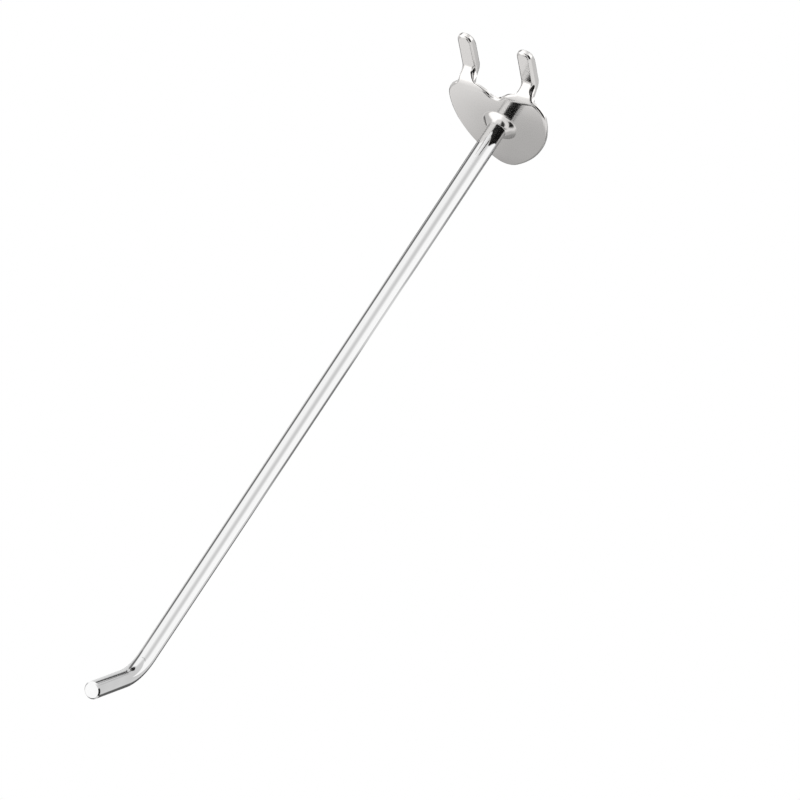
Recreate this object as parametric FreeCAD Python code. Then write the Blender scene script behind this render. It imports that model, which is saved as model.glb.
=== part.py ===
"""Pegboard hook: a die-cast heart plate with two joggled prongs, and a round wire arm with a raised tip.

Frame: millimetres, +X to the right, +Y into the board, +Z up. The origin is on the arm's axis at the
plate's back face, which lies on the board.
"""
import math
import os

import FreeCAD
import Part

V = FreeCAD.Vector

# The board that the hook hangs on
BOARD_THICKNESS = 3.175
HOLE_DIAMETER = 7.14
HOLE_SPACING = 25.4
BOARD_CLEARANCE = 0.225
HOLE_CLEARANCE = 0.15

# Heart-shaped plate: heights are above the arm's axis
PLATE_THICKNESS = 1.5
LOBE_RADIUS = 10.3
LOBE_OFFSET = 10.7
LOBE_HEIGHT = 9.2
NOSE_RADIUS = 8.4
NOSE_DROP = 14.3
SIDE_RADIUS = 36.0
NOTCH_RADIUS = 3.9
RIM_ROUND = 1.0

# Prongs
FINGER_WIDTH = 6.1
FINGER_DEPTH = 3.9
FINGER_TOP = 39.6
FINGER_CORNER = 3.0
FINGER_END_DEPTH = 2.3
FINGER_TAPER = 6.0
TAPER_BEND = 8.0
FINGER_ROUND = 1.2
FINGER_BACK_ROUND = 0.8
SHELL_MARGIN = 0.2
FOLD_HEIGHT = 23.6
HEEL_HEIGHT = 20.8
NECK_ANGLE = 45.0
NECK_BEND = 7.0
NECK_ROUND = 2.0
FOLD_BEND = 2.0
HEEL_BEND = 4.0
ROOT_FLARE = 2.0

# Domed boss round the arm
BOSS_RADIUS = 7.1
BOSS_HEIGHT = 2.6
BOSS_LAND = 0.5
BOSS_FOOT_ROUND = 0.8

# Wire arm
WIRE_DIAMETER = 6.35
REACH = 304.8
TIP_LENGTH = 30.0
TIP_ANGLE = 41.0
TIP_BEND = 23.0
END_CHAMFER = 0.5
STAKE_DEPTH = 0.6
FIT_CLEARANCE = 0.05

# Places that follow from the sizes
PLATE_FRONT = -PLATE_THICKNESS
FINGER_FRONT = BOARD_THICKNESS + BOARD_CLEARANCE
FINGER_BACK = FINGER_FRONT + FINGER_DEPTH
NECK_RISE_PER_DEPTH = 1.0 / math.tan(math.radians(NECK_ANGLE))
NECK_HEIGHT = FOLD_HEIGHT - (FINGER_FRONT - PLATE_FRONT) * NECK_RISE_PER_DEPTH
NECK_TOP_IN_HOLE = FOLD_HEIGHT - (FINGER_FRONT - BOARD_THICKNESS) * NECK_RISE_PER_DEPTH
NECK_ROOT_HEIGHT = NECK_TOP_IN_HOLE - HOLE_DIAMETER + HOLE_CLEARANCE
PRONG_PLACES = (-HOLE_SPACING / 2, HOLE_SPACING / 2)
WIRE_RADIUS = WIRE_DIAMETER / 2
BORE_RADIUS = WIRE_RADIUS + FIT_CLEARANCE
SHELL_DEPTH = NECK_ROUND + SHELL_MARGIN
FINGER_SHELL_DEPTH = FINGER_ROUND + SHELL_MARGIN
SHELL_STEP = FOLD_HEIGHT + FOLD_BEND
LOBE_TOP = LOBE_HEIGHT + LOBE_RADIUS
FOLD_SETBACK = FOLD_BEND * math.tan(math.radians(NECK_ANGLE) / 2)
FOLD_START = FOLD_HEIGHT - FOLD_SETBACK * math.cos(math.radians(NECK_ANGLE))
UNDERSIDE_SLOPE = (HEEL_HEIGHT - NECK_ROOT_HEIGHT) / FINGER_BACK

# How far apart two places, or the slopes of two faces, may be and still count as the same
SAME_PLACE = 1e-6
SAME_SLOPE = 0.01


def rounded_wire(corners, to_point):
    """Closed wire through (u, v, radius) corners, rounded by their radii and mapped by to_point."""
    starts, edges = [], []
    count = len(corners)
    for index, (u, v, radius) in enumerate(corners):
        here = V(u, v, 0)
        before = V(*corners[index - 1][:2], 0) - here
        after = V(*corners[(index + 1) % count][:2], 0) - here
        if radius == 0:
            starts.append((here, here))
            continue
        before.normalize()
        after.normalize()
        half = before.getAngle(after) / 2
        setback = radius / math.tan(half)
        bisector = before + after
        bisector.normalize()
        middle = here + bisector * (radius / math.sin(half) - radius)
        enter, leave = here + before * setback, here + after * setback
        starts.append((enter, leave))
        edges.append(Part.Arc(to_point(enter), to_point(middle), to_point(leave)).toShape())
    for index in range(count):
        begin, end = starts[index - 1][1], starts[index][0]
        edges.append(Part.LineSegment(to_point(begin), to_point(end)).toShape())
    return Part.Wire(Part.__sortEdges__(edges))


def side_view(point):
    """Maps (depth, height) to the plane x = 0."""
    return V(0, point.x, point.y)


def front_view(point):
    """Maps (across, height) to the plate's front plane."""
    return V(point.x, PLATE_FRONT, point.y)


def arc_about(centre, start, end):
    """Arc in front view from start to end, the short way round centre."""
    radius = (start - centre).Length
    outward = (start - centre) + (end - centre)
    outward.normalize()
    points = (start, centre + outward * radius, end)
    return Part.Arc(*(front_view(point) for point in points)).toShape()


def point_from(centre, towards, distance):
    """Point at a distance from centre in the direction of another point."""
    direction = towards - centre
    direction.normalize()
    return centre + direction * distance


def heart_wire():
    """Heart outline of tangent arcs: nose, two sides, two lobes and the notch between them."""
    lobe, nose = V(LOBE_OFFSET, LOBE_HEIGHT, 0), V(0, -NOSE_DROP, 0)
    to_lobe, to_nose = SIDE_RADIUS - LOBE_RADIUS, SIDE_RADIUS - NOSE_RADIUS
    apart = (nose - lobe).Length
    along = (to_lobe**2 - to_nose**2 + apart**2) / (2 * apart)
    across = math.sqrt(to_lobe**2 - along**2)
    axis = (nose - lobe) * (1 / apart)
    side = lobe + axis * along + V(axis.y, -axis.x, 0) * across
    notch = V(0, LOBE_HEIGHT + math.sqrt((LOBE_RADIUS + NOTCH_RADIUS) ** 2 - LOBE_OFFSET**2), 0)
    bottom, dip = V(0, -NOSE_DROP - NOSE_RADIUS, 0), V(0, notch.y - NOTCH_RADIUS, 0)
    nose_end = point_from(side, nose, SIDE_RADIUS)
    lobe_start = point_from(side, lobe, SIDE_RADIUS)
    lobe_end = point_from(lobe, notch, LOBE_RADIUS)
    lobe_top = V(LOBE_OFFSET, LOBE_TOP, 0)
    half = [
        arc_about(nose, bottom, nose_end),
        arc_about(side, nose_end, lobe_start),
        arc_about(lobe, lobe_start, lobe_top),
        arc_about(lobe, lobe_top, lobe_end),
        arc_about(notch, lobe_end, dip),
    ]
    mirrored = [edge.mirror(V(0, 0, 0), V(1, 0, 0)) for edge in half]
    return Part.Wire(Part.__sortEdges__(half + mirrored))


def finger_prism(place):
    """A prong as seen from the front, with rounded top corners, run through the whole depth."""
    left, right = place - FINGER_WIDTH / 2, place + FINGER_WIDTH / 2
    corners = [
        (left, LOBE_HEIGHT, 0),
        (right, LOBE_HEIGHT, 0),
        (right, FINGER_TOP, FINGER_CORNER),
        (left, FINGER_TOP, FINGER_CORNER),
    ]
    return Part.Face(rounded_wire(corners, front_view)).extrude(V(0, FINGER_BACK - PLATE_FRONT, 0))


def front_prism():
    """The head as seen from the front: heart and prongs, with flares where a prong leaves its lobe."""
    heart = Part.Face(heart_wire()).extrude(V(0, FINGER_BACK - PLATE_FRONT, 0))
    blank = heart.fuse([finger_prism(place) for place in PRONG_PLACES]).removeSplitter()
    flares = []
    for edge in blank.Edges:
        first, last = edge.Vertexes[0].Point, edge.Vertexes[-1].Point
        upright = abs(first.x - last.x) + abs(first.z - last.z) < SAME_PLACE
        beside = any(abs(abs(first.x - place) - FINGER_WIDTH / 2) < SAME_PLACE for place in PRONG_PLACES)
        if upright and beside and first.z < FOLD_HEIGHT:
            flares.append(edge)
    return blank.makeFillet(ROOT_FLARE, flares)


def joggle_corners(inset):
    """Corners up the front of plate, neck and finger, moved back into the metal by inset."""
    drop = inset * math.tan(math.radians(NECK_ANGLE) / 2)
    neck = (PLATE_FRONT + inset, NECK_HEIGHT - drop, NECK_BEND - inset)
    fold = (FINGER_FRONT + inset, FOLD_HEIGHT - drop, FOLD_BEND + inset)
    return [neck, fold]


def joggled_shell():
    """Front of plate, necks and fingers as one bent shell, deep enough for its rounded front edges."""
    low, high = -NOSE_DROP - 2 * NOSE_RADIUS, FINGER_TOP + FINGER_WIDTH
    front, back = joggle_corners(0), joggle_corners(SHELL_DEPTH)
    finger_inside, fold_inside = FINGER_FRONT + FINGER_SHELL_DEPTH, FINGER_FRONT + SHELL_DEPTH
    corners = [(PLATE_FRONT, low, 0), *front, (FINGER_FRONT, high, 0)]
    corners += [(finger_inside, high, 0), (finger_inside, SHELL_STEP, 0), (fold_inside, SHELL_STEP, 0)]
    corners += [*reversed(back), (PLATE_FRONT + SHELL_DEPTH, low, 0)]
    half_width = LOBE_OFFSET + LOBE_RADIUS + HOLE_SPACING
    profile = Part.Face(rounded_wire(corners, side_view))
    profile.translate(V(-half_width, 0, 0))
    shell = profile.extrude(V(2 * half_width, 0, 0)).common(front_prism())
    return varied_fillet(shell, rim_edges(shell, -1), front_round)


def front_round(point):
    """Radius of the front edges at a point: small on the heart, growing up the neck, small on the finger."""
    if point.z > FOLD_HEIGHT:
        return FINGER_ROUND
    grown = (point.z - LOBE_TOP) / (FOLD_START - LOBE_TOP)
    return RIM_ROUND + (NECK_ROUND - RIM_ROUND) * max(grown, 0)


def walk_round(edges):
    """The edges of one closed rim in their order round it, each with the points where it starts and ends."""
    ways = []
    for edge in edges:
        first, last = edge.valueAt(edge.FirstParameter), edge.valueAt(edge.LastParameter)
        ways.append((edge, first, last))
    walked = [ways.pop(0)]
    while ways:
        here = walked[-1][2]
        edge, first, last = min(ways, key=lambda way: min(here.distanceToPoint(end) for end in way[1:]))
        ways.remove((edge, first, last))
        if here.distanceToPoint(last) < here.distanceToPoint(first):
            first, last = last, first
        walked.append((edge, first, last))
    return walked


def varied_fillet(shape, edges, radius_at):
    """Rounds a closed rim by a radius that changes along it, as radius_at gives it for a point."""
    document = FreeCAD.newDocument()
    blank, fillet = document.addObject("Part::Feature"), document.addObject("Part::Fillet")
    blank.Shape, fillet.Base = shape, blank
    rows = []
    for edge, start, end in walk_round(edges):
        number = next(place for place, other in enumerate(shape.Edges, 1) if other.isSame(edge))
        rows.append((number, radius_at(start), radius_at(end)))
    fillet.Edges = rows
    document.recompute()
    rounded = fillet.Shape.copy()
    FreeCAD.closeDocument(document.Name)
    return rounded


def board_room():
    """Room that the board fills behind the plate: all of it below the necks, and beside the holes above."""
    half_width, half_hole = LOBE_OFFSET + 2 * LOBE_RADIUS, HOLE_DIAMETER / 2
    low = -NOSE_DROP - 2 * NOSE_RADIUS
    root = NECK_ROOT_HEIGHT + UNDERSIDE_SLOPE * (SHELL_DEPTH - PLATE_THICKNESS)
    room = [Part.makeBox(2 * half_width, FINGER_FRONT, root - low, V(-half_width, 0, low))]
    hole_sides = [place + side * half_hole for place in PRONG_PLACES for side in (-1, 1)]
    ends = [-half_width, *hole_sides, half_width]
    for left, right in zip(ends[0::2], ends[1::2]):
        room.append(Part.makeBox(right - left, FINGER_FRONT, FOLD_HEIGHT - low, V(left, 0, low)))
    return room


def prong_core(place):
    """The back of a prong: neck and finger behind the shell, thin at the top, with rounded back edges."""
    overlap = SHELL_MARGIN / 2
    neck, fold = joggle_corners(SHELL_DEPTH - overlap)
    finger_inside = FINGER_FRONT + FINGER_SHELL_DEPTH - overlap
    corners = [
        (neck[0], NECK_ROOT_HEIGHT + UNDERSIDE_SLOPE * neck[0], 0),
        (neck[0], neck[1], 0),
        fold,
        (fold[0], SHELL_STEP, 0),
        (finger_inside, SHELL_STEP, 0),
        (finger_inside, FINGER_TOP, 0),
        (FINGER_FRONT + FINGER_END_DEPTH, FINGER_TOP, 0),
        (FINGER_BACK, FINGER_TOP - FINGER_TAPER, TAPER_BEND),
        (FINGER_BACK, HEEL_HEIGHT, HEEL_BEND),
    ]
    profile = Part.Face(rounded_wire(corners, side_view))
    profile.translate(V(place - FINGER_WIDTH / 2, 0, 0))
    core = profile.extrude(V(FINGER_WIDTH, 0, 0)).common(finger_prism(place))
    return core.makeFillet(FINGER_BACK_ROUND, rim_edges(core, 1))


def face_normal(face, point):
    """Outward normal of a face at a point on it."""
    return face.normalAt(*face.Surface.parameter(point))


def rim_edges(shape, facing):
    """Edges between the outline's walls and the faces that look forward (facing -1) or back (facing 1)."""
    found = []
    for edge in shape.Edges:
        middle = edge.valueAt((edge.FirstParameter + edge.LastParameter) / 2)
        faces = shape.ancestorsOfType(edge, Part.Face)
        turns = sorted(face_normal(face, middle).y * facing for face in faces)
        if len(turns) == 2 and abs(turns[0]) < SAME_SLOPE and turns[1] > SAME_SLOPE:
            found.append(edge)
    return found


def domed_boss():
    """Low spherical dome on the plate's front, from a rounded foot to a narrow land round the arm."""
    land = BORE_RADIUS + BOSS_LAND
    sunk = (BOSS_RADIUS**2 - land**2 - BOSS_HEIGHT**2) / (2 * BOSS_HEIGHT)
    crown = math.hypot(BOSS_RADIUS, sunk)
    reach = math.sqrt((crown + BOSS_FOOT_ROUND) ** 2 - (sunk + BOSS_FOOT_ROUND) ** 2)
    ball, hollow = V(0, PLATE_FRONT + sunk, 0), V(reach, PLATE_FRONT - BOSS_FOOT_ROUND, 0)
    crest, rim = V(land, PLATE_FRONT - BOSS_HEIGHT, 0), V(reach, PLATE_FRONT, 0)
    seam = ball + (hollow - ball) * (crown / (crown + BOSS_FOOT_ROUND))
    inside = PLATE_FRONT / 2
    edges = [
        profile_arc(ball, crest, seam),
        profile_arc(hollow, seam, rim),
        Part.makePolygon([rim, V(reach, inside, 0), V(0, inside, 0), V(0, crest.y, 0), crest]),
    ]
    profile = Part.Wire([edge for part in edges for edge in part.Edges])
    return Part.Face(profile).revolve(V(0, 0, 0), V(0, 1, 0), 360)


def profile_arc(centre, start, end):
    """The shorter arc from one point to another about a centre."""
    halfway = (start + end) * 0.5 - centre
    halfway.normalize()
    return Part.Arc(start, centre + halfway * (start - centre).Length, end).toShape()


def back_plate():
    """The cast head: shell, prong cores and boss in one solid, with the arm's hole through it."""
    shell = joggled_shell().cut(board_room())
    head = shell.fuse([prong_core(place) for place in PRONG_PLACES] + [domed_boss()])
    head = head.removeSplitter()
    return head.cut(arm_envelope(FIT_CLEARANCE))


def arm_envelope(clearance):
    """The arm's root with its headed end, grown by a clearance: it cuts the hole that the arm fills."""
    radius = WIRE_RADIUS + clearance
    shank = Part.makeCylinder(radius, PLATE_THICKNESS + 2 * BOSS_HEIGHT, V(0, 0, 0), V(0, -1, 0))
    head = Part.makeCone(radius + STAKE_DEPTH, radius, STAKE_DEPTH, V(0, 0, 0), V(0, -1, 0))
    return shank.fuse(head)


def wire_arm():
    """The round arm: straight run, bend and raised tip with a chamfered end, headed over at the back."""
    angle = math.radians(TIP_ANGLE)
    rise, run = math.sin(angle), math.cos(angle)
    corner = REACH - TIP_LENGTH * run - (WIRE_RADIUS - END_CHAMFER) * rise
    setback = TIP_BEND * math.tan(angle / 2)
    end = (corner + TIP_LENGTH * run, TIP_LENGTH * rise)
    bend_start = V(0, -(corner - setback), 0)
    bend_end = V(0, -(corner + setback * run), setback * rise)
    inward = TIP_BEND / math.cos(angle / 2) - TIP_BEND
    bend_middle = V(0, -corner + inward * math.sin(angle / 2), inward * math.cos(angle / 2))
    tip = V(0, -end[0], end[1])
    path = Part.Wire([
        Part.LineSegment(V(0, 0, 0), bend_start).toShape(),
        Part.Arc(bend_start, bend_middle, bend_end).toShape(),
        Part.LineSegment(bend_end, tip).toShape(),
    ])
    section = Part.Wire(Part.Circle(V(0, 0, 0), V(0, 1, 0), WIRE_RADIUS).toShape())
    rod = path.makePipeShell([section], True, False)
    end_edges = [edge for edge in rod.Edges if is_end_circle(edge, tip)]
    rod = rod.makeChamfer(END_CHAMFER, end_edges)
    return rod.fuse(arm_envelope(0)).removeSplitter()


def is_end_circle(edge, centre):
    """Whether an edge is the rim of the arm's free end."""
    return isinstance(edge.Curve, Part.Circle) and (edge.Curve.Center - centre).Length < SAME_PLACE


def main():
    """Builds each node and writes its STEP file."""
    os.makedirs("parts", exist_ok=True)
    for name, build in (("back_plate", back_plate), ("wire_arm", wire_arm)):
        shape = build()
        shape.exportStep(f"parts/{name}.step")
        box = shape.BoundBox
        sizes = f"{box.XLength:.2f} x {box.YLength:.2f} x {box.ZLength:.2f} mm"
        print(name, sizes, f"{shape.Volume:.1f} mm3", len(shape.Solids), "solid", shape.isValid())


main()
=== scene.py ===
"""Dresses the chrome pegboard hook and photographs it in a white light tent.

The arm is modelled again with a smoother round, the cast plate keeps its shape and gets blended shading,
and both are plated. The tent round the hook, with sheets of painted shade laid under it, is what the
plating mirrors.
"""

import logging
import math
from dataclasses import dataclass
from enum import Enum

import bpy
from mathutils import Matrix, Vector

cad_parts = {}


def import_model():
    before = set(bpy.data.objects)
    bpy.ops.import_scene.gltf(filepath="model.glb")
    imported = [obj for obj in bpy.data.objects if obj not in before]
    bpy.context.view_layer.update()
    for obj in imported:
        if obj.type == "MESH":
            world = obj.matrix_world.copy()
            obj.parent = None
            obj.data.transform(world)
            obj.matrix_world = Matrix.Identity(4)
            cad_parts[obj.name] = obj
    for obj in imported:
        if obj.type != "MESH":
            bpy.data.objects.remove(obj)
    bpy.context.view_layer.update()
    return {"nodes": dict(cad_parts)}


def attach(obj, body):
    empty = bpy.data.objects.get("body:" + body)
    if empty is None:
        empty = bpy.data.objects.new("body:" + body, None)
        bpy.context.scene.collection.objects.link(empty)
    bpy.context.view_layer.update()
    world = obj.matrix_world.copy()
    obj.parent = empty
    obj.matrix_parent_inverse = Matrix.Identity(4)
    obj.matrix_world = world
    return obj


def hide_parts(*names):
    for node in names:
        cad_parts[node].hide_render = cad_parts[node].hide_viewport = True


LOG = logging.getLogger("pegboard_hook")
MILLIMETRE = 0.001


class PanelTone(Enum):
    """How bright a panel of the light tent is, as white is 1."""

    SOFTBOX = 1.65
    SIDE_SOFTBOX = 1.6
    DIM_SOFTBOX = 1.55
    GREY_CARD = 0.72
    GREY_CLOTH = 0.25
    DARK_CLOTH = 0.03
    BLACK_CLOTH = 0.015


def deselect_all() -> None:
    """Leaves object mode with nothing selected."""
    if bpy.context.object and bpy.context.object.mode != "OBJECT":
        bpy.ops.object.mode_set(mode="OBJECT")
    bpy.ops.object.select_all(action="DESELECT")


def make_active(piece: bpy.types.Object) -> None:
    """Selects one object alone and makes it active."""
    deselect_all()
    piece.select_set(True)
    bpy.context.view_layer.objects.active = piece


def select_ring(piece: bpy.types.Object, depth: float, reach: float) -> None:
    """Selects the vertices of one ring across the depth axis, in edit mode.

    Args:
        piece: The object that is open in edit mode.
        depth: The ring's place along Y, in metres.
        reach: How far a vertex may lie from that place, in metres.
    """
    bpy.ops.mesh.select_all(action="DESELECT")
    bpy.ops.object.mode_set(mode="OBJECT")
    for vertex in piece.data.vertices:
        vertex.select = abs(vertex.co.y - depth) < reach
    bpy.ops.object.mode_set(mode="EDIT")
    bpy.ops.mesh.select_mode(type="EDGE")


class PlatingGroup:
    """Shader node group for the small unevenness of a plated metal surface."""

    NAME = "plating_unevenness"
    FINE_OCTAVES = 4.0
    BROAD_OCTAVES = 1.0

    @classmethod
    def tree(cls) -> bpy.types.NodeTree:
        """Builds the group once and gives it back on later calls.

        Returns:
            The node group, with outputs Tone, Haze and Height.
        """
        found = bpy.data.node_groups.get(cls.NAME)
        if found:
            return found
        group = bpy.data.node_groups.new(cls.NAME, "ShaderNodeTree")
        cls._sockets(group)
        nodes, links = group.nodes, group.links
        entry, leave = nodes.new("NodeGroupInput"), nodes.new("NodeGroupOutput")
        coords, place = nodes.new("ShaderNodeTexCoord"), nodes.new("ShaderNodeMapping")
        links.new(coords.outputs["Object"], place.inputs["Vector"])
        links.new(entry.outputs["Stretch"], place.inputs["Scale"])
        fine = cls._noise(nodes, links, place, entry.outputs["Fine Scale"], cls.FINE_OCTAVES)
        broad = cls._noise(nodes, links, place, entry.outputs["Broad Scale"], cls.BROAD_OCTAVES)
        tone = nodes.new("ShaderNodeMix")
        tone.data_type = "RGBA"
        links.new(broad.outputs["Fac"], tone.inputs["Factor"])
        links.new(entry.outputs["Dull Tone"], tone.inputs["A"])
        links.new(entry.outputs["Bright Tone"], tone.inputs["B"])
        links.new(tone.outputs["Result"], leave.inputs["Tone"])
        haze = nodes.new("ShaderNodeMapRange")
        links.new(fine.outputs["Fac"], haze.inputs["Value"])
        links.new(entry.outputs["Least Haze"], haze.inputs["To Min"])
        links.new(entry.outputs["Most Haze"], haze.inputs["To Max"])
        links.new(haze.outputs["Result"], leave.inputs["Haze"])
        links.new(broad.outputs["Fac"], leave.inputs["Height"])
        return group

    @staticmethod
    def _sockets(group: bpy.types.NodeTree) -> None:
        """Names the group's inputs and outputs."""
        for name, kind in (
            ("Stretch", "NodeSocketVector"),
            ("Fine Scale", "NodeSocketFloat"),
            ("Broad Scale", "NodeSocketFloat"),
            ("Dull Tone", "NodeSocketColor"),
            ("Bright Tone", "NodeSocketColor"),
            ("Least Haze", "NodeSocketFloat"),
            ("Most Haze", "NodeSocketFloat"),
        ):
            group.interface.new_socket(name=name, in_out="INPUT", socket_type=kind)
        for name, kind in (
            ("Tone", "NodeSocketColor"),
            ("Haze", "NodeSocketFloat"),
            ("Height", "NodeSocketFloat"),
        ):
            group.interface.new_socket(name=name, in_out="OUTPUT", socket_type=kind)

    @staticmethod
    def _noise(
        nodes: bpy.types.Nodes,
        links: bpy.types.NodeLinks,
        place: bpy.types.Node,
        scale: bpy.types.NodeSocket,
        detail: float,
    ) -> bpy.types.Node:
        """Adds a noise texture on the placed coordinates.

        Args:
            nodes: The group's nodes.
            links: The group's links.
            place: The mapping node that places the pattern.
            scale: The socket that gives the noise scale.
            detail: The noise's octaves.

        Returns:
            The noise node.
        """
        noise = nodes.new("ShaderNodeTexNoise")
        noise.inputs["Detail"].default_value = detail
        links.new(place.outputs["Vector"], noise.inputs["Vector"])
        links.new(scale, noise.inputs["Scale"])
        return noise


@dataclass(frozen=True)
class ChromePlating:
    """Bright chrome on one kind of base metal.

    Fields give the tones between which the plating varies, its haze as roughness, the stretch of its
    pattern along each axis, and the height of the waves that the base metal leaves under it.
    """

    name: str
    dull_tone: tuple[float, float, float]
    bright_tone: tuple[float, float, float]
    least_haze: float
    most_haze: float
    stretch: tuple[float, float, float]
    fine_scale: float
    broad_scale: float
    wave_strength: float
    wave_height: float

    def material(self) -> bpy.types.Material:
        """Builds the plating as a material.

        Returns:
            The new material.
        """
        material = bpy.data.materials.new(self.name)
        material.use_nodes = True
        nodes, links = material.node_tree.nodes, material.node_tree.links
        shader = nodes["Principled BSDF"]
        shader.inputs["Metallic"].default_value = 1.0
        group = nodes.new("ShaderNodeGroup")
        group.node_tree = PlatingGroup.tree()
        values = {
            "Stretch": self.stretch,
            "Fine Scale": self.fine_scale,
            "Broad Scale": self.broad_scale,
            "Dull Tone": (*self.dull_tone, 1.0),
            "Bright Tone": (*self.bright_tone, 1.0),
            "Least Haze": self.least_haze,
            "Most Haze": self.most_haze,
        }
        for name, value in values.items():
            group.inputs[name].default_value = value
        wave = nodes.new("ShaderNodeBump")
        wave.inputs["Strength"].default_value = self.wave_strength
        wave.inputs["Distance"].default_value = self.wave_height
        links.new(group.outputs["Height"], wave.inputs["Height"])
        links.new(group.outputs["Tone"], shader.inputs["Base Color"])
        links.new(group.outputs["Haze"], shader.inputs["Roughness"])
        links.new(wave.outputs["Normal"], shader.inputs["Normal"])
        return material


CAST_CHROME = ChromePlating(
    name="chrome_on_zinc_casting",
    dull_tone=(0.658, 0.643, 0.63),
    bright_tone=(0.703, 0.688, 0.675),
    least_haze=0.1,
    most_haze=0.17,
    stretch=(1.0, 1.0, 1.0),
    fine_scale=900.0,
    broad_scale=90.0,
    wave_strength=0.25,
    wave_height=0.0002,
)

DRAWN_CHROME = ChromePlating(
    name="chrome_on_drawn_wire",
    dull_tone=(0.55, 0.55, 0.55),
    bright_tone=(0.61, 0.61, 0.61),
    least_haze=0.04,
    most_haze=0.08,
    stretch=(1.0, 0.04, 1.0),
    fine_scale=1500.0,
    broad_scale=300.0,
    wave_strength=0.1,
    wave_height=0.0001,
)


@dataclass
class WireArm:
    """The round arm with its raised tip and its headed end in the plate. Sizes are in metres."""

    name: str = "round_arm"
    radius: float = 3.175 * MILLIMETRE
    reach: float = 304.8 * MILLIMETRE
    tip_length: float = 30.0 * MILLIMETRE
    tip_angle: float = math.radians(41.0)
    tip_bend: float = 23.0 * MILLIMETRE
    end_chamfer: float = 0.5 * MILLIMETRE
    stake_depth: float = 0.6 * MILLIMETRE
    sides: int = 96
    bend_steps: int = 32
    crease: float = math.radians(30.0)

    @property
    def tip_direction(self) -> Vector:
        """Direction of the raised tip, from the bend to the free end."""
        return Vector((0.0, -math.cos(self.tip_angle), math.sin(self.tip_angle)))

    @property
    def bend_corner(self) -> float:
        """Distance from the plate's back to the corner where the two runs would meet."""
        end_drop = (self.radius - self.end_chamfer) * math.sin(self.tip_angle)
        return self.reach - self.tip_length * math.cos(self.tip_angle) - end_drop

    @property
    def setback(self) -> float:
        """Length of each run that the bend takes up."""
        return self.tip_bend * math.tan(self.tip_angle / 2)

    def build(self) -> bpy.types.Object:
        """Models the arm from one ring by extruding, spinning and capping it.

        Returns:
            The arm's object.
        """
        deselect_all()
        bpy.ops.mesh.primitive_circle_add(
            vertices=self.sides,
            radius=self.radius,
            fill_type="NOTHING",
            location=(0.0, -self.stake_depth, 0.0),
            rotation=(math.pi / 2, 0.0, 0.0),
        )
        arm = bpy.context.object
        arm.name = self.name
        bpy.ops.object.transform_apply(location=True, rotation=True, scale=True)
        bpy.ops.object.mode_set(mode="EDIT")
        bpy.ops.mesh.select_mode(type="EDGE")
        bpy.ops.mesh.select_all(action="SELECT")
        self._run_out()
        self._raise_tip()
        self._head_over(arm)
        bpy.ops.mesh.select_all(action="SELECT")
        bpy.ops.mesh.normals_make_consistent(inside=False)
        bpy.ops.object.mode_set(mode="OBJECT")
        bpy.ops.object.shade_smooth_by_angle(angle=self.crease)
        return arm

    def _run_out(self) -> None:
        """Draws the straight run and turns the bend at its end."""
        run = self.bend_corner - self.setback - self.stake_depth
        bpy.ops.mesh.extrude_edges_move(TRANSFORM_OT_translate={"value": (0.0, -run, 0.0)})
        bpy.ops.mesh.spin(
            steps=self.bend_steps,
            angle=self.tip_angle,
            center=(0.0, self.setback - self.bend_corner, self.tip_bend),
            axis=(1.0, 0.0, 0.0),
        )

    def _raise_tip(self) -> None:
        """Draws the raised tip and closes it with a chamfered end."""
        along = self.tip_direction
        plain = along * (self.tip_length - self.setback - self.end_chamfer)
        bpy.ops.mesh.extrude_edges_move(TRANSFORM_OT_translate={"value": tuple(plain)})
        bpy.ops.mesh.extrude_edges_move(TRANSFORM_OT_translate={"value": tuple(along * self.end_chamfer)})
        end = Vector((0.0, -self.bend_corner, 0.0)) + along * self.tip_length
        shrink = 1.0 - self.end_chamfer / self.radius
        bpy.ops.transform.resize(value=(shrink, shrink, shrink), center_override=tuple(end))
        bpy.ops.mesh.edge_face_add()

    def _head_over(self, arm: bpy.types.Object) -> None:
        """Spreads the arm's root into the countersink of the plate's back and closes it.

        Args:
            arm: The arm's object, open in edit mode.
        """
        select_ring(arm, -self.stake_depth, self.stake_depth / 4)
        bpy.ops.mesh.extrude_edges_move(TRANSFORM_OT_translate={"value": (0.0, self.stake_depth, 0.0)})
        spread = 1.0 + self.stake_depth / self.radius
        bpy.ops.transform.resize(value=(spread, spread, spread), center_override=(0.0, 0.0, 0.0))
        bpy.ops.mesh.edge_face_add()

    def dress(self, arm: bpy.types.Object) -> None:
        """Plates the arm and puts it in the node's place.

        Args:
            arm: The arm's object.
        """
        arm.data.materials.append(DRAWN_CHROME.material())
        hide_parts("wire_arm")
        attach(arm, "root")


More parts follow.
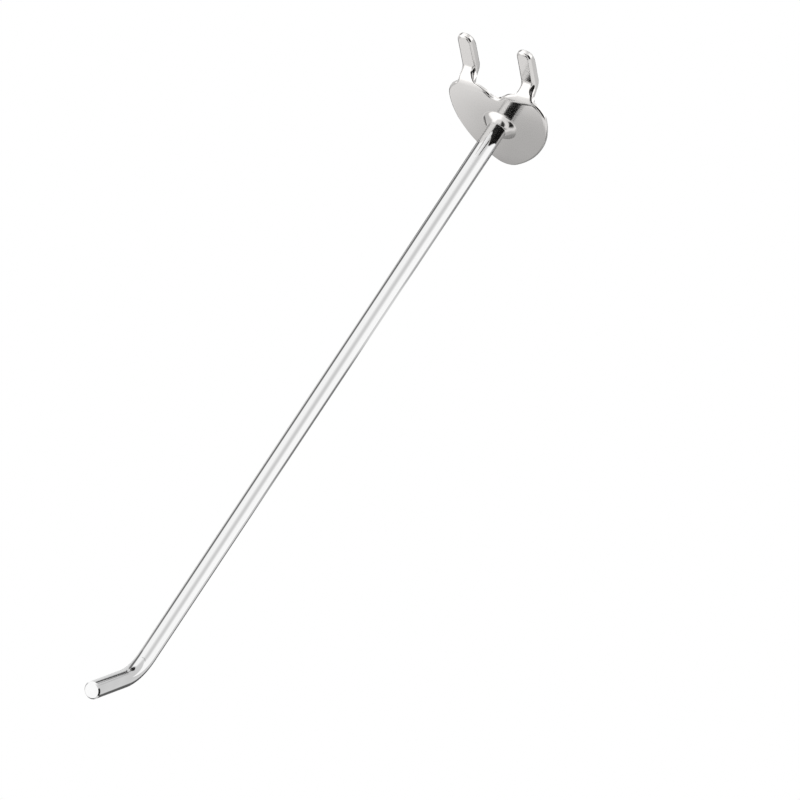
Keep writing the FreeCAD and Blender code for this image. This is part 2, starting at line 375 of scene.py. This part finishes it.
@dataclass
class HeartPlate:
    """The cast plate with its prongs and boss, shaded so that its rounds run into its flats."""

    name: str = "heart_plate"
    merge_distance: float = 0.001 * MILLIMETRE
    crease: float = math.radians(38.0)
    flat_weight: int = 100

    def build(self, node: bpy.types.Object) -> bpy.types.Object:
        """Copies the solid's mesh, joins its faces and blends their shading.

        Args:
            node: The plate's node.

        Returns:
            The plate's object.
        """
        plate = bpy.data.objects.new(self.name, node.data.copy())
        plate.data.name = self.name
        bpy.context.scene.collection.objects.link(plate)
        make_active(plate)
        bpy.ops.mesh.customdata_custom_splitnormals_clear()
        bpy.ops.object.mode_set(mode="EDIT")
        bpy.ops.mesh.select_all(action="SELECT")
        bpy.ops.mesh.remove_doubles(threshold=self.merge_distance)
        bpy.ops.object.mode_set(mode="OBJECT")
        bpy.ops.object.shade_smooth_by_angle(angle=self.crease)
        blend = plate.modifiers.new("flats_keep_flat", "WEIGHTED_NORMAL")
        blend.mode = "FACE_AREA"
        blend.weight = self.flat_weight
        blend.keep_sharp = True
        bpy.ops.object.modifier_apply(modifier=blend.name)
        return plate

    def dress(self, plate: bpy.types.Object) -> None:
        """Plates the casting and puts it in the node's place.

        Args:
            plate: The plate's object.
        """
        plate.data.materials.clear()
        plate.data.materials.append(CAST_CHROME.material())
        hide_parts("back_plate")
        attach(plate, "root")


@dataclass(frozen=True)
class Band:
    """A stretch of a value, with a soft start and a soft end inside it."""

    low: float
    high: float
    rise: float
    fall: float

    @property
    def middle(self) -> float:
        """The value half-way along the band."""
        return (self.low + self.high) / 2

    def centred(self) -> "Band":
        """Gives the same band moved so that its middle is at zero."""
        return Band(self.low - self.middle, self.high - self.middle, self.rise, self.fall)

    def mask(
        self, nodes: bpy.types.Nodes, links: bpy.types.NodeLinks, value: bpy.types.NodeSocket
    ) -> bpy.types.NodeSocket:
        """Adds nodes that tell how far inside the band a value lies.

        Args:
            nodes: The material's nodes.
            links: Its links.
            value: The socket with the value.

        Returns:
            A socket that is 1 inside the band and 0 outside it.
        """
        ends = []
        for outside, inside in ((self.low, self.low + self.rise), (self.high, self.high - self.fall)):
            step = nodes.new("ShaderNodeMapRange")
            step.interpolation_type = "SMOOTHSTEP"
            step.inputs["From Min"].default_value = outside
            step.inputs["From Max"].default_value = inside
            links.new(value, step.inputs["Value"])
            ends.append(step.outputs["Result"])
        return product(nodes, links, *ends)


def product(
    nodes: bpy.types.Nodes,
    links: bpy.types.NodeLinks,
    first: bpy.types.NodeSocket,
    second: bpy.types.NodeSocket,
) -> bpy.types.NodeSocket:
    """Adds a node that multiplies two sockets and gives back the result's socket."""
    times = nodes.new("ShaderNodeMath")
    times.operation = "MULTIPLY"
    links.new(first, times.inputs[0])
    links.new(second, times.inputs[1])
    return times.outputs["Value"]


def only_in_reflections(panel: bpy.types.Object) -> None:
    """Keeps a stage panel out of the picture and off the floor's light, but in the reflections."""
    panel.visible_camera = False
    panel.visible_diffuse = False
    panel.visible_shadow = False


@dataclass(frozen=True)
class TentPanel:
    """One curved panel of the light tent, on a cylinder round the arm's axis, which fades out at its edges.

    Angles are in degrees about the depth axis, from the hook's right up over its top, and depths in metres.
    """

    name: str
    tone: PanelTone
    angles: Band
    depths: Band
    radius: float = 1.2
    steps: int = 24

    def build(self) -> bpy.types.Object:
        """Spins one edge round the axis into the panel and gives it its tone.

        Returns:
            The panel's object.
        """
        deselect_all()
        bpy.ops.mesh.primitive_plane_add(size=1.0, location=(0.0, 0.0, 0.0))
        panel = bpy.context.object
        panel.name = self.name
        bpy.ops.object.mode_set(mode="EDIT")
        bpy.ops.mesh.select_mode(type="VERT")
        bpy.ops.mesh.select_all(action="SELECT")
        bpy.ops.mesh.merge(type="CENTER")
        first = math.radians(self.angles.low)
        corner = (self.radius * math.cos(first), self.depths.low, self.radius * math.sin(first))
        bpy.ops.transform.translate(value=corner)
        bpy.ops.mesh.extrude_vertices_move(
            TRANSFORM_OT_translate={"value": (0.0, self.depths.high - self.depths.low, 0.0)}
        )
        bpy.ops.mesh.select_all(action="SELECT")
        bpy.ops.mesh.spin(
            steps=self.steps,
            angle=math.radians(self.angles.high - self.angles.low),
            center=(0.0, 0.0, 0.0),
            axis=(0.0, 1.0, 0.0),
        )
        bpy.ops.object.mode_set(mode="OBJECT")
        panel.data.materials.append(self._material())
        only_in_reflections(panel)
        return panel

    def _material(self) -> bpy.types.Material:
        """Makes the panel's glow, with soft edges.

        Returns:
            The new material.
        """
        material = bpy.data.materials.new(self.name)
        material.use_nodes = True
        nodes, links = material.node_tree.nodes, material.node_tree.links
        nodes.remove(nodes["Principled BSDF"])
        coords, turn = nodes.new("ShaderNodeTexCoord"), nodes.new("ShaderNodeMapping")
        turn.inputs["Rotation"].default_value = (0.0, math.radians(self.angles.middle), 0.0)
        split, angle = nodes.new("ShaderNodeSeparateXYZ"), nodes.new("ShaderNodeMath")
        degrees = nodes.new("ShaderNodeMath")
        angle.operation, degrees.operation = "ARCTAN2", "DEGREES"
        links.new(coords.outputs["Object"], turn.inputs["Vector"])
        links.new(turn.outputs["Vector"], split.inputs["Vector"])
        links.new(split.outputs["Z"], angle.inputs[0])
        links.new(split.outputs["X"], angle.inputs[1])
        links.new(angle.outputs["Value"], degrees.inputs[0])
        across = self.angles.centred().mask(nodes, links, degrees.outputs["Value"])
        along = self.depths.mask(nodes, links, split.outputs["Y"])
        glow, clear = nodes.new("ShaderNodeEmission"), nodes.new("ShaderNodeBsdfTransparent")
        glow.inputs["Strength"].default_value = self.tone.value
        mix = nodes.new("ShaderNodeMixShader")
        links.new(product(nodes, links, across, along), mix.inputs["Fac"])
        links.new(clear.outputs["BSDF"], mix.inputs[1])
        links.new(glow.outputs["Emission"], mix.inputs[2])
        links.new(mix.outputs["Shader"], nodes["Material Output"].inputs["Surface"])
        return material


@dataclass(frozen=True)
class PaintedShadeSheet:
    """A flat sheet of painted shadow under the hook: it darkens the floor in the plating's reflections,
    standing in for the hook's own shade on a table.

    Sizes are in metres, and the tint is how much light the painted shadow lets through in its middle.
    """

    name: str
    shadow_tint: float
    across: Band
    depths: Band
    height: float = -0.05

    def build(self) -> bpy.types.Object:
        """Lays the sheet and gives it its painted shade.

        Returns:
            The sheet's object.
        """
        deselect_all()
        bpy.ops.mesh.primitive_plane_add(size=1.0, location=(0.0, 0.0, 0.0))
        sheet = bpy.context.object
        sheet.name = self.name
        sheet.scale = (self.across.high - self.across.low, self.depths.high - self.depths.low, 1.0)
        sheet.location = (self.across.middle, self.depths.middle, self.height)
        bpy.ops.object.transform_apply(location=True, rotation=True, scale=True)
        sheet.data.materials.append(self._material())
        only_in_reflections(sheet)
        return sheet

    def _material(self) -> bpy.types.Material:
        """Makes the sheet's painted shade, clear towards its edges.

        Returns:
            The new material.
        """
        material = bpy.data.materials.new(self.name)
        material.use_nodes = True
        nodes, links = material.node_tree.nodes, material.node_tree.links
        nodes.remove(nodes["Principled BSDF"])
        coords, split = nodes.new("ShaderNodeTexCoord"), nodes.new("ShaderNodeSeparateXYZ")
        links.new(coords.outputs["Object"], split.inputs["Vector"])
        across = self.across.mask(nodes, links, split.outputs["X"])
        along = self.depths.mask(nodes, links, split.outputs["Y"])
        # painted shade: clear white at the sheet's edges, darkening to the tint in its middle
        painted_shade_mix = nodes.new("ShaderNodeMix")
        painted_shade_mix.data_type = "RGBA"
        painted_shade_mix.inputs["A"].default_value = (1.0, 1.0, 1.0, 1.0)
        painted_shade_mix.inputs["B"].default_value = (self.shadow_tint, self.shadow_tint, self.shadow_tint, 1.0)
        links.new(product(nodes, links, across, along), painted_shade_mix.inputs["Factor"])
        clear = nodes.new("ShaderNodeBsdfTransparent")
        links.new(painted_shade_mix.outputs["Result"], clear.inputs["Color"])
        links.new(clear.outputs["BSDF"], nodes["Material Output"].inputs["Surface"])
        return material


@dataclass
class Studio:
    """The white floor and surroundings, the tent's panels, the sheets of painted shade under the hook and
    the lamp. Sizes are in metres.
    """

    floor_height: float = -0.7
    floor_size: float = 14.0
    floor_colour: tuple[float, float, float] = (0.9, 0.9, 0.9)
    floor_roughness: float = 0.9
    seen_white: float = 1.0
    lighting_white: float = 0.6
    lamp_power: float = 30.0
    lamp_size: float = 1.5
    lamp_place: tuple[float, float, float] = (-0.6, -0.5, 1.1)
    panels: tuple[TentPanel, ...] = (
        TentPanel(
            "left_softbox",
            PanelTone.SOFTBOX,
            angles=Band(62, 230, 41, 90),
            depths=Band(-3.2, 0.2, 1.0, 0.1),
        ),
        TentPanel(
            "back_softbox",
            PanelTone.DIM_SOFTBOX,
            angles=Band(62, 205, 41, 65),
            depths=Band(0.1, 3.0, 0.1, 0.1),
            radius=1.21,
        ),
        TentPanel(
            "right_softbox",
            PanelTone.SIDE_SOFTBOX,
            angles=Band(-45, 57, 15, 36),
            depths=Band(0.14, 1.05, 0.1, 0.1),
        ),
        TentPanel(
            "camera_cloth",
            PanelTone.DARK_CLOTH,
            angles=Band(20, 112, 5, 22),
            depths=Band(-1.2, -0.42, 0.15, 0.1),
            radius=1.15,
        ),
        TentPanel(
            "right_cloth",
            PanelTone.BLACK_CLOTH,
            angles=Band(-40, 46, 18, 12),
            depths=Band(-1.5, 0.18, 0.1, 0.1),
            radius=1.12,
        ),
        TentPanel(
            "front_cloth",
            PanelTone.DARK_CLOTH,
            angles=Band(-125, 78, 20, 15),
            depths=Band(-8.0, -0.9, 0.3, 0.15),
            radius=0.35,
        ),
        TentPanel(
            "back_cloth",
            PanelTone.DARK_CLOTH,
            angles=Band(30, 120, 12, 12),
            depths=Band(0.766, 0.805, 0.014, 0.01),
            radius=1.16,
        ),
        TentPanel(
            "far_cloth",
            PanelTone.DARK_CLOTH,
            angles=Band(15, 175, 15, 15),
            depths=Band(0.8, 8.0, 0.1, 0.3),
            radius=0.35,
        ),
        TentPanel(
            "left_skirting",
            PanelTone.GREY_CLOTH,
            angles=Band(150, 194, 10, 10),
            depths=Band(0.2, 3.0, 0.1, 0.1),
            radius=1.1,
        ),
        TentPanel(
            "left_card",
            PanelTone.GREY_CARD,
            angles=Band(170, 224, 12, 6),
            depths=Band(-1.4, 0.22, 0.3, 0.1),
            radius=1.1,
        ),
    )
    # painted shade: dark sheets under and beside the hook, seen only in the plating, stand in for the
    # hook's shadow on a table
    painted_shade_sheets: tuple[PaintedShadeSheet, ...] = (
        PaintedShadeSheet(
            "painted_shade_under_plate",
            shadow_tint=0.6,
            across=Band(-0.065, 0.06, 0.05, 0.03),
            depths=Band(-0.059, 0.03, 0.014, 0.02),
        ),
        PaintedShadeSheet(
            "painted_shade_under_arm",
            shadow_tint=0.3,
            across=Band(-0.06, 0.06, 0.02, 0.02),
            depths=Band(-0.175, -0.08, 0.03, 0.02),
        ),
        PaintedShadeSheet(
            "painted_shade_under_tip",
            shadow_tint=0.15,
            across=Band(-0.06, 0.03, 0.02, 0.012),
            depths=Band(-0.37, -0.15, 0.02, 0.03),
            height=-0.052,
        ),
        PaintedShadeSheet(
            "painted_shade_under_nose",
            shadow_tint=0.6,
            across=Band(-0.06, 0.035, 0.03, 0.02),
            depths=Band(-0.032, 0.03, 0.018, 0.02),
            height=-0.054,
        ),
        PaintedShadeSheet(
            "painted_shade_beside_plate",
            shadow_tint=0.12,
            across=Band(-0.14, -0.054, 0.02, 0.006),
            depths=Band(-0.02, 0.03, 0.012, 0.01),
            height=-0.055,
        ),
        PaintedShadeSheet(
            "painted_shade_behind_plate",
            shadow_tint=0.1,
            across=Band(-0.14, 0.035, 0.02, 0.02),
            depths=Band(0.008, 0.15, 0.014, 0.02),
            height=-0.051,
        ),
        PaintedShadeSheet(
            "painted_shade_beside_right",
            shadow_tint=0.35,
            across=Band(0.03, 0.062, 0.012, 0.01),
            depths=Band(-0.012, 0.05, 0.012, 0.012),
            height=-0.057,
        ),
        PaintedShadeSheet(
            "painted_shade_behind_right",
            shadow_tint=0.76,
            across=Band(0.01, 0.12, 0.02, 0.03),
            depths=Band(0.03, 0.13, 0.02, 0.03),
            height=-0.053,
        ),
    )

    def build(self) -> None:
        """Sets up the floor, the white surroundings, the panels, the sheets of painted shade and the lamp.
        """
        self._floor()
        self._surroundings()
        for panel in (*self.panels, *self.painted_shade_sheets):
            panel.build()
        self._lamp()

    def _floor(self) -> None:
        """Lays the pale floor, which shows as white to the camera and in the plating."""
        deselect_all()
        bpy.ops.mesh.primitive_plane_add(size=self.floor_size, location=(0.0, 0.0, self.floor_height))
        floor = bpy.context.object
        floor.name = "floor"
        bpy.ops.object.transform_apply(location=True, rotation=True, scale=True)
        material = bpy.data.materials.new("white_floor")
        material.use_nodes = True
        nodes, links = material.node_tree.nodes, material.node_tree.links
        shader, out = nodes["Principled BSDF"], nodes["Material Output"]
        shader.inputs["Base Color"].default_value = (*self.floor_colour, 1.0)
        shader.inputs["Roughness"].default_value = self.floor_roughness
        white, mix = nodes.new("ShaderNodeEmission"), nodes.new("ShaderNodeMixShader")
        links.new(seen_directly(nodes, links), mix.inputs["Fac"])
        links.new(shader.outputs["BSDF"], mix.inputs[1])
        links.new(white.outputs["Emission"], mix.inputs[2])
        links.new(mix.outputs["Shader"], out.inputs["Surface"])
        floor.data.materials.append(material)

    def _surroundings(self) -> None:
        """Makes the world white where it is seen, and softer where it only lights."""
        world = bpy.data.worlds.new("white_surroundings")
        bpy.context.scene.world = world
        world.use_nodes = True
        nodes, links = world.node_tree.nodes, world.node_tree.links
        soft, out = nodes["Background"], nodes["World Output"]
        soft.inputs["Color"].default_value = (1.0, 1.0, 1.0, 1.0)
        soft.inputs["Strength"].default_value = self.lighting_white
        white, mix = nodes.new("ShaderNodeBackground"), nodes.new("ShaderNodeMixShader")
        white.inputs["Color"].default_value = (1.0, 1.0, 1.0, 1.0)
        white.inputs["Strength"].default_value = self.seen_white
        links.new(seen_directly(nodes, links), mix.inputs["Fac"])
        links.new(soft.outputs["Background"], mix.inputs[1])
        links.new(white.outputs["Background"], mix.inputs[2])
        links.new(mix.outputs["Shader"], out.inputs["Surface"])

    def _lamp(self) -> None:
        """Hangs one large soft lamp over the hook, for the floor's even light."""
        lamp = bpy.data.lights.new("soft_lamp", "AREA")
        lamp.energy = self.lamp_power
        lamp.size = self.lamp_size
        holder = bpy.data.objects.new("soft_lamp", lamp)
        bpy.context.scene.collection.objects.link(holder)
        holder.location = self.lamp_place
        holder.rotation_euler = (-Vector(self.lamp_place)).to_track_quat("-Z", "Y").to_euler()
        holder.visible_camera = False
        holder.visible_glossy = False


def seen_directly(nodes: bpy.types.Nodes, links: bpy.types.NodeLinks) -> bpy.types.NodeSocket:
    """Adds nodes that tell rays from the camera, from gloss or through glass from the rest.

    Args:
        nodes: The nodes of the material or world.
        links: Its links.

    Returns:
        A socket that is 1 for such rays and 0 for the others.
    """
    path = nodes.new("ShaderNodeLightPath")
    either, any_of_three = nodes.new("ShaderNodeMath"), nodes.new("ShaderNodeMath")
    either.operation = any_of_three.operation = "MAXIMUM"
    links.new(path.outputs["Is Camera Ray"], either.inputs[0])
    links.new(path.outputs["Is Glossy Ray"], either.inputs[1])
    links.new(either.outputs["Value"], any_of_three.inputs[0])
    links.new(path.outputs["Is Transmission Ray"], any_of_three.inputs[1])
    return any_of_three.outputs["Value"]


@dataclass
class PhotoCamera:
    """The camera at the photo's place: to the right, in front and above, with a long lens."""

    place: tuple[float, float, float] = (0.6835, -0.9651, 1.2486)
    azimuth: float = math.radians(38.294)
    elevation: float = math.radians(49.757)
    roll: float = math.radians(-12.915)
    lens: float = 201.7
    sensor: float = 36.0
    far_clip: float = 100.0

    def build(self) -> None:
        """Sets the camera up and makes it the scene's own."""
        data = bpy.data.cameras.new("photo_camera")
        data.lens = self.lens
        data.sensor_width = self.sensor
        data.sensor_fit = "HORIZONTAL"
        data.clip_end = self.far_clip
        camera = bpy.data.objects.new("photo_camera", data)
        bpy.context.scene.collection.objects.link(camera)
        camera.matrix_world = Matrix.Translation(self.place) @ self._turn().to_4x4()
        bpy.context.scene.camera = camera

    def _turn(self) -> Matrix:
        """Works out the camera's turn from its angles.

        Returns:
            A rotation whose columns are the camera's right, up and back.
        """
        flat = math.cos(self.elevation)
        back = Vector((
            math.sin(self.azimuth) * flat,
            -math.cos(self.azimuth) * flat,
            math.sin(self.elevation),
        ))
        right = Vector((math.cos(self.azimuth), math.sin(self.azimuth), 0.0))
        up = back.cross(right)
        turned_right = right * math.cos(self.roll) + up * math.sin(self.roll)
        turned_up = up * math.cos(self.roll) - right * math.sin(self.roll)
        return Matrix((turned_right, turned_up, back)).transposed()


def main() -> None:
    """Loads the model, builds and dresses each piece, and sets up the picture."""
    logging.basicConfig(level=logging.INFO, format="%(message)s")
    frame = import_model()
    bpy.context.scene.view_settings.view_transform = "Standard"
    arm = WireArm()
    arm_piece = arm.build()
    arm.dress(arm_piece)
    LOG.info("%s: %d vertices", arm_piece.name, len(arm_piece.data.vertices))
    plate = HeartPlate()
    plate_piece = plate.build(frame["nodes"]["back_plate"])
    plate.dress(plate_piece)
    LOG.info("%s: %d vertices", plate_piece.name, len(plate_piece.data.vertices))
    Studio().build()
    PhotoCamera().build()


if __name__ == "__main__":
    main()
